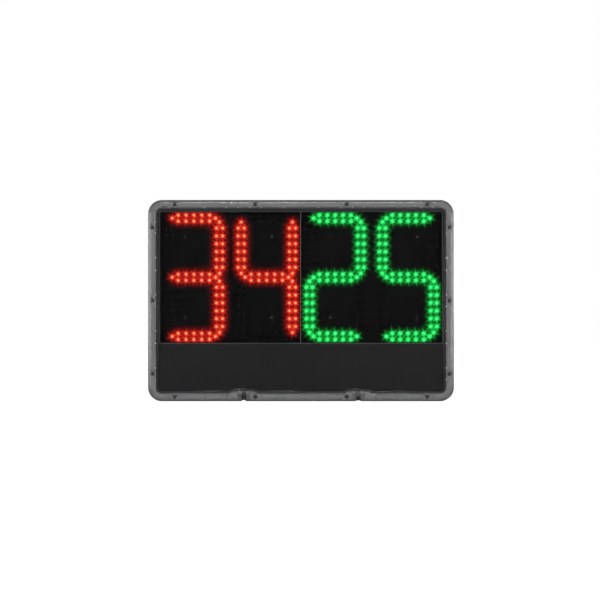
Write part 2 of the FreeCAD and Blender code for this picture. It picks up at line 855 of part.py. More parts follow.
nodes = {
    "front_frame": front_frame(),
    "rear_frame": rear_frame(),
    "cover_screws": screws(screw_points, cover_screw_sizes, head_seat_y, cover_screw_grip),
    "front_window": pane(window_y, inside_y),
    "window_seal": pane_seal(inside_y, front_ledge_y),
    "back_panel": back_panel(),
    "back_panel_seal": pane_seal(back_ledge_y, panel_inner_y),
    "display_carrier": display_carrier(),
    "carrier_screws": screws(carrier_points, small_screw_sizes, panel_y, carrier_boss_y - small_screw_grip),
    "red_display_board": display_board(-1),
    "green_display_board": display_board(1),
    "board_screws": screws(board_points, small_screw_sizes, board_y, board_tip_y),
    "red_tens_leds": digit(-1, -1),
    "red_units_leds": digit(-1, 1),
    "green_tens_leds": digit(1, -1),
    "green_units_leds": digit(1, 1),
    "sponsor_panel": sponsor_panel(),
    "control_board": control_board(),
    "control_board_screws": screws(control_points, small_screw_sizes, control_y, control_tip_y),
    "control_connectors": control_connectors(),
    "display_connectors": display_connectors(),
    "red_display_ribbon": ribbon(-1),
    "green_display_ribbon": ribbon(1),
    "key_switches": [key_switch(x, z) for x, z in key_points().values()],
    "battery_tray": battery_tray(),
    "battery_cells": battery_cells(),
    "battery_contacts": battery_contacts(),
    "battery_door": battery_door(),
    "battery_door_screws": screws(door_points, small_screw_sizes, panel_y, door_tip_y),
    "battery_lead": battery_lead(),
    "charge_socket": charge_socket(),
    "charge_pin": charge_pin(),
    "charge_lead": port_lead(-1),
    "power_switch": power_switch(),
    "power_button": power_button(),
    "power_lead": port_lead(1),
}
for name, (x, z) in key_points().items():
    nodes[name] = key(x, z)

os.makedirs("parts", exist_ok=True)
for name, shape in nodes.items():
    solid = Part.makeCompound(shape) if isinstance(shape, list) else shape
    solid.exportStep("parts/" + name + ".step")
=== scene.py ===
import bpy
import bmesh
import json
import math
import numpy as np
from mathutils import Matrix, Vector


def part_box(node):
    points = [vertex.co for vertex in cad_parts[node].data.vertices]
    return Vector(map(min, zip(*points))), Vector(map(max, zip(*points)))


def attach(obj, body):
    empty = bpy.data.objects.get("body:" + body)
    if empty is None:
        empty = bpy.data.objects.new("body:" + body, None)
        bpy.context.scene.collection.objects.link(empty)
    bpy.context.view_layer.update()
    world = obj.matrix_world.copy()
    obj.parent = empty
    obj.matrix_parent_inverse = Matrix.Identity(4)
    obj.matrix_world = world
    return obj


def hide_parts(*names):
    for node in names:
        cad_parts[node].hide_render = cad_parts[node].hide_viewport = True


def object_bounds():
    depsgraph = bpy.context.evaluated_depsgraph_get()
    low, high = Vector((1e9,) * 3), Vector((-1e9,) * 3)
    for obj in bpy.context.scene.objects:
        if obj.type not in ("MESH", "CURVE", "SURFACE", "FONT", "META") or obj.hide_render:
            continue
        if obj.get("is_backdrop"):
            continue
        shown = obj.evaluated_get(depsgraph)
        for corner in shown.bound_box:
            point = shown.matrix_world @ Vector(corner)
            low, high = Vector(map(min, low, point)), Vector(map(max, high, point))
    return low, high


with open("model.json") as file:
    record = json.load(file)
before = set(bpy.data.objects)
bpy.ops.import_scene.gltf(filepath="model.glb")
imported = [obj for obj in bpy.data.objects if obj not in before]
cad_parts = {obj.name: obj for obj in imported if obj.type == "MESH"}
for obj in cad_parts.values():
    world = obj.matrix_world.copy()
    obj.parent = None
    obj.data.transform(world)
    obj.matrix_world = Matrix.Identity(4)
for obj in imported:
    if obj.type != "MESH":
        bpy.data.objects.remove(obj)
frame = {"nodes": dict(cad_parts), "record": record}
cadLow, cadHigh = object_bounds()
scene = bpy.context.scene
scene.view_settings.view_transform = "Standard"
cad = frame["nodes"]
mm = 0.001
# distances in mm within which points count as one, as cut, and as on a plane
touch = {"merge": 0.002, "cut": 0.001, "plane": 0.01}
# form of the frame that its finish and its shape share
frameEdge = {"corner": 28.0, "rim": 16.0}
print("frame loaded:", len(cad), "nodes")


def newFinish(name):
    mat = bpy.data.materials.new(name)
    mat.use_nodes = True
    return mat, mat.node_tree, mat.node_tree.nodes["Principled BSDF"]


def addNode(tree, kind, values=None, **settings):
    node = tree.nodes.new(kind)
    for key, value in settings.items():
        setattr(node, key, value)
    for key, value in (values or {}).items():
        node.inputs[key].default_value = value
    return node


def objectNoise(tree, scale, detail=2.0, roughness=0.5):
    coord = addNode(tree, "ShaderNodeTexCoord")
    noise = addNode(tree, "ShaderNodeTexNoise", {"Scale": scale, "Detail": detail, "Roughness": roughness})
    tree.links.new(coord.outputs["Object"], noise.inputs["Vector"])
    return noise.outputs["Fac"]


def mathNode(tree, operation, first, second=None):
    node = addNode(tree, "ShaderNodeMath", operation=operation)
    for socket, value in zip(node.inputs, (first, second)):
        if isinstance(value, (int, float)):
            socket.default_value = value
        elif value is not None:
            tree.links.new(value, socket)
    return node.outputs[0]


def spread(tree, source, low, high, fromLow=0.3, fromHigh=0.7):
    node = addNode(tree, "ShaderNodeMapRange",
                   {"From Min": fromLow, "From Max": fromHigh, "To Min": low, "To Max": high})
    tree.links.new(source, node.inputs["Value"])
    return node.outputs["Result"]


def tint(tree, source, dark, light):
    ramp = addNode(tree, "ShaderNodeValToRGB")
    ramp.color_ramp.elements[0].position = 0.3
    ramp.color_ramp.elements[1].position = 0.7
    ramp.color_ramp.elements[0].color = (*dark, 1)
    ramp.color_ramp.elements[1].color = (*light, 1)
    tree.links.new(source, ramp.inputs["Fac"])
    return ramp.outputs["Color"]


def shaded(colour, share):
    return tuple(c * share for c in colour)


def addBump(tree, bsdf, source, strength, distance):
    bump = addNode(tree, "ShaderNodeBump", {"Strength": strength, "Distance": distance})
    tree.links.new(source, bump.inputs["Height"])
    tree.links.new(bump.outputs["Normal"], bsdf.inputs["Normal"])


def varyRoughness(tree, bsdf, source, look):
    low, high = look["rough"] - look["roughVary"], look["rough"] + look["roughVary"]
    tree.links.new(spread(tree, source, low, high), bsdf.inputs["Roughness"])


def mouldedFinish(name, look):
    mat, tree, bsdf = newFinish(name)
    blotch = objectNoise(tree, look.get("blotch", 40), 3.0)
    tree.links.new(tint(tree, blotch, shaded(look["colour"], 1 - look["vary"]),
                        shaded(look["colour"], 1 + look["vary"])), bsdf.inputs["Base Color"])
    fine = objectNoise(tree, look["grain"], 2.0, 0.6)
    varyRoughness(tree, bsdf, fine, look)
    addBump(tree, bsdf, fine, look["bump"], look.get("depth", 0.00005))
    bsdf.inputs["Specular IOR Level"].default_value = look.get("specular", 0.5)
    bsdf.inputs["Metallic"].default_value = look.get("metal", 0.0)
    return mat


def makePiece(name, bm, mats, body="board_body", replaced=()):
    mesh = bpy.data.meshes.new(name)
    bm.to_mesh(mesh)
    bm.free()
    for mat in mats:
        mesh.materials.append(mat)
    piece = bpy.data.objects.new(name, mesh)
    scene.collection.objects.link(piece)
    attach(piece, body)
    if replaced:
        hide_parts(*replaced)
    return piece


def paintNode(name, mat):
    node = cad[name]
    node.data.materials.clear()
    node.data.materials.append(mat)


def mergedCopy(node):
    bm = bmesh.new()
    bm.from_mesh(cad[node].data)
    bmesh.ops.remove_doubles(bm, verts=bm.verts, dist=touch["merge"] * mm)
    bm.verts.index_update()
    return bm


def solidBoxes(node):
    bm = mergedCopy(node)
    seen, boxes = set(), []
    for start in bm.verts:
        todo, found = [start], []
        while todo:
            vert = todo.pop()
            if vert.index not in seen:
                seen.add(vert.index)
                found.append(vert.co.copy())
                todo += [edge.other_vert(vert) for edge in vert.link_edges]
        if found:
            boxes.append((Vector([min(c[i] for c in found) for i in range(3)]),
                          Vector([max(c[i] for c in found) for i in range(3)])))
    bm.free()
    return boxes


def smoothByAngle(piece, degrees):
    piece.data.shade_smooth()
    piece.data.set_sharp_from_angle(angle=math.radians(degrees))


# smoked frame: clear and tinted, with painted shade and light by the distance in mm from its outline: darker along
# the outer edge, paler towards the window lip, and dark past the lip where the recess lies in shade
smoke = {"tint": (0.412, 0.416, 0.42), "vary": 0.04, "streak": 14, "grain": 700, "clear": 0.985, "bend": 1.08,
         "rough": 0.12, "roughVary": 0.04, "coat": 0.8, "gloss": 0.16, "absorb": (0.5, 0.49, 0.48),
         "density": 40.0, "depthReach": 24.0, "portX": 115.94, "portRise": 4.3, "portFlat": 18.0, "portFoot": 33.0,
         "shadeByDepth": ((0.0, 0.8), (1.6, 0.84), (3.2, 1.0), (12.2, 1.0), (13.8, 1.24), (16.2, 1.45), (17.0, 0.25),
                    (20.2, 0.25), (20.6, 0.02))}


def rimDepth(tree):
    # distance inwards from the rounded outline, as a share of the reach of the ramp
    corner = frameEdge["corner"] * mm
    middle = (cadLow + cadHigh) / 2
    coord = addNode(tree, "ShaderNodeTexCoord")
    parts = addNode(tree, "ShaderNodeSeparateXYZ")
    tree.links.new(coord.outputs["Object"], parts.inputs[0])
    past = []
    for axis, centre, half in (("X", middle.x, cadHigh.x - middle.x), ("Z", middle.z, cadHigh.z - middle.z)):
        away = mathNode(tree, "ABSOLUTE", mathNode(tree, "SUBTRACT", parts.outputs[axis], centre))
        past.append(mathNode(tree, "SUBTRACT", away, half - corner))
    outside = [mathNode(tree, "MAXIMUM", value, 0.0) for value in past]
    reach = mathNode(tree, "SQRT", mathNode(tree, "ADD", mathNode(tree, "MULTIPLY", outside[0], outside[0]),
                                            mathNode(tree, "MULTIPLY", outside[1], outside[1])))
    inner = mathNode(tree, "MINIMUM", mathNode(tree, "MAXIMUM", past[0], past[1]), 0.0)
    inset = mathNode(tree, "SUBTRACT", corner, mathNode(tree, "ADD", reach, inner))
    fromPort = mathNode(tree, "ABSOLUTE", mathNode(tree, "SUBTRACT", mathNode(tree, "ABSOLUTE", parts.outputs["X"]),
                                                   smoke["portX"] * mm))
    swell = spread(tree, fromPort, smoke["portRise"] / frameEdge["rim"], 0.0, smoke["portFlat"] * mm,
                   smoke["portFoot"] * mm)
    swell = mathNode(tree, "MULTIPLY", swell, mathNode(tree, "LESS_THAN", parts.outputs["Z"], middle.z))
    inset = mathNode(tree, "DIVIDE", inset, mathNode(tree, "ADD", swell, 1.0))
    return mathNode(tree, "DIVIDE", inset, smoke["depthReach"] * mm)


# painted shade and light: multiplies a colour by a ramp on the distance from the frame's outline
def rimShade(tree, colour, shadeByDepth):
    ramp = addNode(tree, "ShaderNodeValToRGB")
    stops = ramp.color_ramp.elements
    while len(stops) < len(shadeByDepth):
        stops.new(0.5)
    for stop, (place, level) in zip(stops, shadeByDepth):
        stop.position = place / smoke["depthReach"]
        stop.color = (level, level, level, 1)
    tree.links.new(rimDepth(tree), ramp.inputs["Fac"])
    mix = addNode(tree, "ShaderNodeMix", data_type="RGBA", blend_type="MULTIPLY")
    mix.inputs["Factor"].default_value = 1.0
    tree.links.new(colour, mix.inputs["A"])
    tree.links.new(ramp.outputs["Color"], mix.inputs["B"])
    return mix.outputs["Result"]


def smokedFinish():
    mat, tree, bsdf = newFinish("smoked_polycarbonate")
    streak = objectNoise(tree, smoke["streak"])
    colour = tint(tree, streak, shaded(smoke["tint"], 1 - smoke["vary"]), shaded(smoke["tint"], 1 + smoke["vary"]))
    # painted shade and light on the frame's colour, by distance from its outline
    tree.links.new(rimShade(tree, colour, smoke["shadeByDepth"]), bsdf.inputs["Base Color"])
    varyRoughness(tree, bsdf, objectNoise(tree, smoke["grain"]), smoke)
    bsdf.inputs["Transmission Weight"].default_value = smoke["clear"]
    bsdf.inputs["IOR"].default_value = smoke["bend"]
    bsdf.inputs["Coat Weight"].default_value = smoke["coat"]
    bsdf.inputs["Coat Roughness"].default_value = smoke["gloss"]
    depth = addNode(tree, "ShaderNodeVolumeAbsorption",
                    {"Color": (*smoke["absorb"], 1), "Density": smoke["density"]})
    tree.links.new(depth.outputs["Volume"], tree.nodes["Material Output"].inputs["Volume"])
    return mat


# window pane: almost unseen but for its reflections, with faint smudges
clearPane = {"colour": (0.02, 0.021, 0.021), "vary": 0.04, "smudge": 22, "alpha": 0.02, "rough": 0.06,
             "roughVary": 0.04, "specular": 0.8}


def paneFinish():
    mat, tree, bsdf = newFinish("clear_polycarbonate")
    smudge = objectNoise(tree, clearPane["smudge"], 4.0, 0.6)
    varyRoughness(tree, bsdf, smudge, clearPane)
    tree.links.new(tint(tree, smudge, shaded(clearPane["colour"], 1 - clearPane["vary"]), clearPane["colour"]),
                   bsdf.inputs["Base Color"])
    bsdf.inputs["Alpha"].default_value = clearPane["alpha"]
    bsdf.inputs["Specular IOR Level"].default_value = clearPane["specular"]
    return mat


# plain mouldings, metals and boards
looks = {
    "black_rubber": {"colour": (0.034, 0.034, 0.036), "vary": 0.12, "rough": 0.75, "roughVary": 0.08,
                     "grain": 900, "bump": 0.25, "specular": 0.3},
    "black_steel": {"colour": (0.02, 0.02, 0.021), "vary": 0.2, "rough": 0.34, "roughVary": 0.1,
                    "grain": 1500, "bump": 0.1, "specular": 0.6},
    "zinc_steel": {"colour": (0.62, 0.62, 0.60), "vary": 0.1, "rough": 0.3, "roughVary": 0.1,
                   "grain": 1200, "bump": 0.1, "metal": 1.0},
    "charcoal_panel": {"colour": (0.036, 0.037, 0.039), "vary": 0.1, "rough": 0.55, "roughVary": 0.1,
                       "grain": 1600, "bump": 0.5},
    "grey_carrier": {"colour": (0.004, 0.004, 0.0042), "vary": 0.08, "rough": 0.5, "roughVary": 0.1,
                     "grain": 1100, "bump": 0.25, "specular": 0.02},
    "black_circuit_board": {"colour": (0.003, 0.003, 0.0033), "vary": 0.2, "rough": 0.6, "roughVary": 0.08,
                            "grain": 500, "bump": 0.1, "specular": 0.015},
    "green_circuit_board": {"colour": (0.015, 0.10, 0.04), "vary": 0.15, "rough": 0.35, "roughVary": 0.1,
                            "grain": 500, "bump": 0.1},
    "satin_black_panel": {"colour": (0.0155, 0.0155, 0.0160), "vary": 0.06, "rough": 0.5, "roughVary": 0.06,
                          "grain": 1300, "bump": 0.15, "specular": 0.08},
    "ivory_nylon": {"colour": (0.72, 0.69, 0.61), "vary": 0.05, "rough": 0.5, "roughVary": 0.1,
                    "grain": 900, "bump": 0.15},
    "grey_cable": {"colour": (0.22, 0.22, 0.23), "vary": 0.08, "rough": 0.5, "roughVary": 0.1,
                   "grain": 900, "bump": 0.15},
    "black_moulding": {"colour": (0.018, 0.018, 0.019), "vary": 0.1, "rough": 0.45, "roughVary": 0.1,
                       "grain": 1200, "bump": 0.2},
    "cell_sleeve": {"colour": (0.05, 0.16, 0.42), "vary": 0.08, "rough": 0.3, "roughVary": 0.08,
                    "grain": 600, "bump": 0.1},
    "grey_key": {"colour": (0.30, 0.305, 0.315), "vary": 0.06, "rough": 0.6, "roughVary": 0.08,
                 "grain": 1400, "bump": 0.25, "specular": 0.35},
    "red_key": {"colour": (0.46, 0.025, 0.025), "vary": 0.08, "rough": 0.6, "roughVary": 0.08,
                "grain": 1400, "bump": 0.25, "specular": 0.35},
    "green_key": {"colour": (0.02, 0.27, 0.08), "vary": 0.08, "rough": 0.6, "roughVary": 0.08,
                  "grain": 1400, "bump": 0.25, "specular": 0.35},
}
finish = {name: mouldedFinish(name, look) for name, look in looks.items()}
finish["smoked_polycarbonate"] = smokedFinish()
finish["clear_polycarbonate"] = paneFinish()
for row in frame["record"]["subparts"]:
    if row["material_slot"] in finish:
        paintNode(row["node"], finish[row["material_slot"]])
print("finishes made:", len(finish))


# frame halves, window and gasket: merged copies whose corner facets are drawn out to the true arc
shellShape = {"facets": 5, "rounds": 2, "partingGap": 0.04, "paneBack": -12.5, "paneGap": 0.05, "smooth": 28,
              "edge": 7.0, "skinDepth": 0.95, "skinReach": 0.8, "skinNear": 0.2,
              "sinkHalf": 0.9, "sink": 0.1, "sinkFlat": 0.9}
ribs = {"upright": (363.8, 340.4, 290.5, 265.8, 215.7, 192.3, 142.2, 117.5, 67.6, 44.2),
        "level": (34.7, 80.7, 104.1, 127.7, 150.7, 195.6, 243.9, 267.3)}


def roundCorners(bm):
    for sideX in (-1, 1):
        for sideZ in (-1, 1):
            centre = Vector((sideX * (cadHigh.x - frameEdge["corner"] * mm), 0,
                             (cadLow.z + cadHigh.z) / 2
                             + sideZ * ((cadHigh.z - cadLow.z) / 2 - frameEdge["corner"] * mm)))
            for level in range(shellShape["rounds"]):
                count = shellShape["facets"] * 2 ** level
                turn = math.pi / 2 / count
                for index in range(count):
                    angle = (index + 0.5) * turn
                    along = Vector((sideX * math.cos(angle), 0, sideZ * math.sin(angle)))
                    across = Vector((-along.z, 0, along.x))
                    drawOut(bm, centre, along, across, 1 / math.cos(turn / 2), sideX, sideZ)


def onlyVerts(geom):
    return [g for g in geom if isinstance(g, bmesh.types.BMVert)]


def cutFaces(bm, faces, place, normal):
    edges = list({e for f in faces for e in f.edges})
    verts = list({v for f in faces for v in f.verts})
    cut = bmesh.ops.bisect_plane(bm, geom=verts + edges + faces, dist=touch["cut"] * mm, plane_co=place,
                                 plane_no=normal)
    return onlyVerts(cut["geom_cut"])


def drawOut(bm, centre, along, across, stretch, sideX, sideZ):
    near = touch["plane"] * mm
    faces = [f for f in bm.faces
             if any(sideX * (v.co.x - centre.x) > near and sideZ * (v.co.z - centre.z) > near for v in f.verts)]
    for vert in cutFaces(bm, faces, centre, across):
        if (vert.co - centre).dot(along) > near:
            vert.co.x = centre.x + (vert.co.x - centre.x) * stretch
            vert.co.z = centre.z + (vert.co.z - centre.z) * stretch


def onSkin(co, across):
    # true on the outer skin of the front half, beside its straight edges
    inset = min(cadHigh.x - abs(co.x), co.z - cadLow.z, cadHigh.z - co.z)
    depth = co.y - cadLow.y
    rim, edge = frameEdge["rim"] * mm, shellShape["edge"] * mm
    besideEdge = cadHigh.x - abs(co.x) < rim if across == "z" else min(co.z - cadLow.z, cadHigh.z - co.z) < rim
    if not besideEdge or depth > -shellShape["skinDepth"] * cadLow.y:
        return False
    if inset < edge and depth < edge:
        return math.hypot(edge - inset, edge - depth) > edge - shellShape["skinReach"] * mm
    return min(inset, depth) < shellShape["skinNear"] * mm


def sinkRibs(bm):
    # a shallow dent over each rib, on the flat front of the rim only
    half = shellShape["sinkHalf"] * mm
    places = [("z", z * mm) for z in ribs["upright"]]
    places += [("x", side * x * mm) for side in (-1, 1) for x in ribs["level"]]
    for across, place in places:
        line = Vector((1, 0, 0)) if across == "x" else Vector((0, 0, 1))
        for shift in (-half, half, 0):
            level = place + shift
            faces = [f for f in bm.faces
                     if min(v.co.dot(line) for v in f.verts) < level < max(v.co.dot(line) for v in f.verts)
                     and all(onSkin(v.co, across) for v in f.verts)]
            middle = cutFaces(bm, faces, line * level, line)
        bm.normal_update()
        for vert, normal in [(v, v.normal.copy()) for v in middle]:
            if normal.y < -shellShape["sinkFlat"]:
                vert.co -= normal * shellShape["sink"] * mm


# window gasket: painted shade along the rubber's inner edge, in the gap beside the carrier
gasketPaintedShade = ((0.0, 1.0), (19.8, 1.0), (20.2, 0.1))


def gasketFinish():
    mat = mouldedFinish("gasket_rubber", looks["black_rubber"])
    tree = mat.node_tree
    colour = tree.nodes["Principled BSDF"].inputs["Base Color"]
    # painted shade: darkens the gasket's inner edge where the gap beside the carrier lies in shade
    tree.links.new(rimShade(tree, colour.links[0].from_socket, gasketPaintedShade), colour)
    return mat


def roundedCopy(node, name, slot, moves=(), mat=None):
    bm = mergedCopy(node)
    for vert in bm.verts:
        for level, shift in moves:
            if abs(vert.co.y - level * mm) < touch["cut"] * mm:
                vert.co.y += shift * mm
    roundCorners(bm)
    if node == "front_frame":
        sinkRibs(bm)
    piece = makePiece(name, bm, [mat or finish[slot]], replaced=[node])
    smoothByAngle(piece, shellShape["smooth"])
    even = piece.modifiers.new("even_normals", "WEIGHTED_NORMAL")
    even.keep_sharp = True


roundedCopy("front_frame", "front_frame_shell", "smoked_polycarbonate", [(0.0, -shellShape["partingGap"])])
roundedCopy("rear_frame", "rear_frame_shell", "smoked_polycarbonate")
roundedCopy("front_window", "front_window_pane", "clear_polycarbonate",
            [(shellShape["paneBack"], -shellShape["paneGap"])])
roundedCopy("window_seal", "window_gasket", "black_rubber", mat=gasketFinish())
roundedCopy("back_panel_seal", "back_gasket", "black_rubber")
print("frame halves, window and gaskets rounded")


# display carrier: a pale lip runs along its wall tops, round both displays and between them
carrierLip = {"width": 0.85, "rise": 0.2, "corner": 5.0, "cornerSteps": 6, "foot": 116.7, "barLeft": -1.05,
              "reach": 0.1, "colour": (0.136, 0.136, 0.143), "vary": 0.08, "rough": 0.5, "roughVary": 0.1,
              "grain": 1100, "bump": 0.1, "specular": 0.1}


def frontPlate(left, right, foot, top, y, columns=1, rows=1):
    bm = bmesh.new()
    bmesh.ops.create_grid(bm, x_segments=columns, y_segments=rows, size=0.5)
    bmesh.ops.rotate(bm, cent=(0, 0, 0), matrix=Matrix.Rotation(math.pi / 2, 3, "X"), verts=bm.verts)
    bmesh.ops.scale(bm, vec=(right - left, 1, top - foot), verts=bm.verts)
    bmesh.ops.translate(bm, vec=((left + right) / 2, y, (foot + top) / 2), verts=bm.verts)
    return bm


def asMesh(bm, name):
    mesh = bpy.data.meshes.new(name)
    bm.to_mesh(mesh)
    bm.free()
    return mesh


def joinInto(bm, other):
    mesh = asMesh(other, "joining")
    bm.from_mesh(mesh)
    bpy.data.meshes.remove(mesh)


def makeCarrierLip():
    low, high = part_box("display_carrier")
    foot, width = carrierLip["foot"] * mm, carrierLip["width"] * mm
    reach = carrierLip["reach"] * mm
    top = high.z + reach
    bm = frontPlate(low.x - reach, high.x + reach, foot, top, low.y)
    upper = [v for v in bm.verts if v.co.z > (foot + top) / 2]
    bmesh.ops.bevel(bm, geom=upper, offset=carrierLip["corner"] * mm, affect="VERTICES",
                    segments=carrierLip["cornerSteps"], profile=0.5, material=-1)
    bmesh.ops.inset_region(bm, faces=bm.faces[:], thickness=width, use_boundary=True, use_even_offset=True)
    middle = max(bm.faces, key=lambda f: f.calc_area())
    bmesh.ops.delete(bm, geom=[middle], context="FACES")
    left = carrierLip["barLeft"] * mm
    joinInto(bm, frontPlate(left, left + width, foot + width, top - width, low.y))
    grown = bmesh.ops.extrude_face_region(bm, geom=bm.faces[:])["geom"]
    bmesh.ops.translate(bm, vec=(0, -carrierLip["rise"] * mm, 0), verts=onlyVerts(grown))
    bmesh.ops.recalc_face_normals(bm, faces=bm.faces)
    makePiece("display_carrier_lip", bm, [mouldedFinish("carrier_lip", carrierLip)])


makeCarrierLip()
print("carrier lip made")


# lamps: square body with a round lens, 92 to a digit
lampGrid = {"pitch": 15.9, "rowGap": 12.5, "endGap": 12.2, "cornerGap": 8.0, "across": 5, "upright": 6}
lampShape = {"side": 7.4, "bodyHeight": 2.6, "shoulder": 0.7, "lensRadius": 2.75, "lensSides": 10,
             "lensRings": 6, "lensSink": 0.05}
digitShown = {"red_tens_leds": "abcdg", "red_units_leds": "bcfg",
              "green_tens_leds": "abdeg", "green_units_leds": "acdfg"}


def segmentRow(pairs):
    reach = (pairs - 1) * lampGrid["pitch"] / 2
    row = [(-reach - lampGrid["endGap"], 0), (reach + lampGrid["endGap"], 0)]
    for index in range(pairs):
        along = index * lampGrid["pitch"] - reach
        row += [(along, -lampGrid["rowGap"] / 2), (along, lampGrid["rowGap"] / 2)]
    return row


def segmentLamps():
    across = segmentRow(lampGrid["across"])
    upright = segmentRow(lampGrid["upright"])
    column = max(a for a, b in across) + lampGrid["cornerGap"]
    half = max(a for a, b in upright) + lampGrid["cornerGap"]
    lamps = {}
    for name, row in (("a", 2 * half), ("g", 0), ("d", -2 * half)):
        lamps[name] = [(x, row + z) for x, z in across]
    for name, side, middle in (("f", -1, half), ("b", 1, half), ("e", -1, -half), ("c", 1, -half)):
        lamps[name] = [(side * column + x, middle + z) for z, x in upright]
    return lamps


def oneLamp(high):
    bm = bmesh.new()
    bmesh.ops.create_cube(bm, size=1.0)
    bmesh.ops.scale(bm, vec=Vector((lampShape["side"], lampShape["bodyHeight"], lampShape["side"])) * mm,
                    verts=bm.verts)
    bmesh.ops.translate(bm, vec=(0, -lampShape["bodyHeight"] * mm / 2, 0), verts=bm.verts)
    front = [f for f in bm.faces if f.normal.y < -0.9]
    edges = list({e for f in front for e in f.edges})
    bmesh.ops.bevel(bm, geom=edges, offset=lampShape["shoulder"] * mm, affect="EDGES", segments=1,
                    profile=0.5, material=-1)
    back = [f for f in bm.faces if f.normal.y > 0.9]
    bmesh.ops.delete(bm, geom=back, context="FACES")
    lens = bmesh.new()
    radius = lampShape["lensRadius"] * mm
    bmesh.ops.create_uvsphere(lens, u_segments=lampShape["lensSides"], v_segments=lampShape["lensRings"],
                              radius=radius)
    bmesh.ops.rotate(lens, cent=(0, 0, 0), matrix=Matrix.Rotation(math.pi / 2, 3, "X"), verts=lens.verts)
    bmesh.ops.bisect_plane(lens, geom=lens.verts[:] + lens.edges[:] + lens.faces[:],
                           plane_co=(0, 0, 0), plane_no=(0, 1, 0), clear_outer=True)
    bmesh.ops.scale(lens, vec=(1, (high - lampShape["bodyHeight"] * mm) / radius, 1), verts=lens.verts)
    bmesh.ops.translate(lens, vec=(0, (lampShape["lensSink"] - lampShape["bodyHeight"]) * mm, 0), verts=lens.verts)
    for face in lens.faces:
        face.smooth = True
    joinInto(bm, lens)
    return asMesh(bm, "one_lamp")


def stamped(bm, mesh, places, index):
    for place in places:
        before = len(bm.verts)
        faces = len(bm.faces)
        bm.from_mesh(mesh)
        bm.verts.ensure_lookup_table()
        bm.faces.ensure_lookup_table()
        bmesh.ops.translate(bm, vec=place, verts=bm.verts[before:])
        for face in bm.faces[faces:]:
            face.material_index = index


# painted light: a thin emissive sheet on the display board shows the six-rayed star and halo that each lit lamp
# throws
paintedGlow = {"step": 0.8, "rise": 0.1, "fade": 0.015, "reach": 24.0, "margin": 22.0, "rayAngles": (30, 90, 150)}
glowLooks = {
    "red": {"core": 0.29, "coreReach": 2.48, "halo": 0.059, "haloReach": 13.9, "ray": 1.26, "rayWidth": 1.59,
            "rayReach": 7.0, "second": (0.045, 2.1), "third": (0.018, 2.1), "channels": (0, 1, 2), "tilt": -10,
            "lens": (0.30, 0.012, 0.008)},
    "green": {"core": 1.2, "coreReach": 3.85, "halo": 0.032, "haloReach": 13.3, "ray": 0.78, "rayWidth": 0.9,
              "rayReach": 8.4, "second": (0.135, 1.13), "third": (0.022, 1.42), "channels": (1, 2, 0), "tilt": 10,
              "lens": (0.006, 0.20, 0.03)},
}


def glowLevel(points, lamps, look):
    level = np.zeros(len(points))
    for lamp in lamps:
        away = points - np.array((lamp.x, lamp.z)) / mm
        near = np.abs(away).max(axis=1) < paintedGlow["reach"]
        x, z = away[near].T
        square = x * x + z * z
        value = look["core"] * np.exp(-square / look["coreReach"] ** 2)
        value += look["halo"] * np.exp(-square / look["haloReach"] ** 2)
        for angle in np.radians(np.add(paintedGlow["rayAngles"], look["tilt"])):
            along = x * np.cos(angle) + z * np.sin(angle)
            value += look["ray"] * np.exp(-(square - along ** 2) / look["rayWidth"] ** 2
                                          - (along / look["rayReach"]) ** 2)
        level[near] += value
    return np.maximum(level - paintedGlow["fade"], 0)


def glowSheet(lamps, look, board, y):
    reach = paintedGlow["margin"] * mm
    left = max(min(lamp.x for lamp in lamps) - reach, board[0].x)
    right = min(max(lamp.x for lamp in lamps) + reach, board[1].x)
    foot = max(min(lamp.z for lamp in lamps) - reach, board[0].z)
    top = min(max(lamp.z for lamp in lamps) + reach, board[1].z)
    step = paintedGlow["step"] * mm
    bm = frontPlate(left, right, foot, top, y, round((right - left) / step), round((top - foot) / step))
    level = glowLevel(np.array([(v.co.x, v.co.z) for v in bm.verts]) / mm, lamps, look)
    colours = np.ones((len(level), 4))
    shades = (level, look["second"][0] * level ** look["second"][1], look["third"][0] * level ** look["third"][1])
    for channel, shade in zip(look["channels"], shades):
        colours[:, channel] = np.minimum(shade, 1.0)
    layer = bm.verts.layers.float_color.new("glow")
    bm.verts.index_update()
    for vert in bm.verts:
        vert[layer] = colours[vert.index]
    dim = [f for f in bm.faces if max(level[v.index] for v in f.verts) == 0]
    bmesh.ops.delete(bm, geom=dim, context="FACES")
    return bm


def glowFinish(name):
    mat, tree, bsdf = newFinish(name)
    attribute = addNode(tree, "ShaderNodeAttribute", attribute_name="glow")
    tree.links.new(attribute.outputs["Color"], bsdf.inputs["Emission Color"])
    bsdf.inputs["Emission Strength"].default_value = 1.0
    board = looks["black_circuit_board"]
    grain = objectNoise(tree, board["grain"])
    tree.links.new(tint(tree, grain, shaded(board["colour"], 1 - board["vary"]),
                        shaded(board["colour"], 1 + board["vary"])), bsdf.inputs["Base Color"])
    bsdf.inputs["Specular IOR Level"].default_value = board["specular"]
    bsdf.inputs["Roughness"].default_value = board["rough"]
    return mat


lensLook = {"cloud": 400, "darkest": 0.85, "palest": 1.1, "roughLow": 0.25, "roughHigh": 0.4, "power": 1.2,
            "dark": (0.0026, 0.0026, 0.0028), "darkSpecular": 0.02}


def lensFinish(name, colour, lit):
    mat, tree, bsdf = newFinish(name)
    cloud = objectNoise(tree, lensLook["cloud"])
    tree.links.new(tint(tree, cloud, shaded(colour, lensLook["darkest"]), shaded(colour, lensLook["palest"])),
                   bsdf.inputs["Base Color"])
    tree.links.new(spread(tree, cloud, lensLook["roughLow"], lensLook["roughHigh"]), bsdf.inputs["Roughness"])
    if lit:
        bsdf.inputs["Emission Color"].default_value = (*colour, 1)
        bsdf.inputs["Emission Strength"].default_value = lensLook["power"]
    else:
        bsdf.inputs["Specular IOR Level"].default_value = lensLook["darkSpecular"]
    return mat


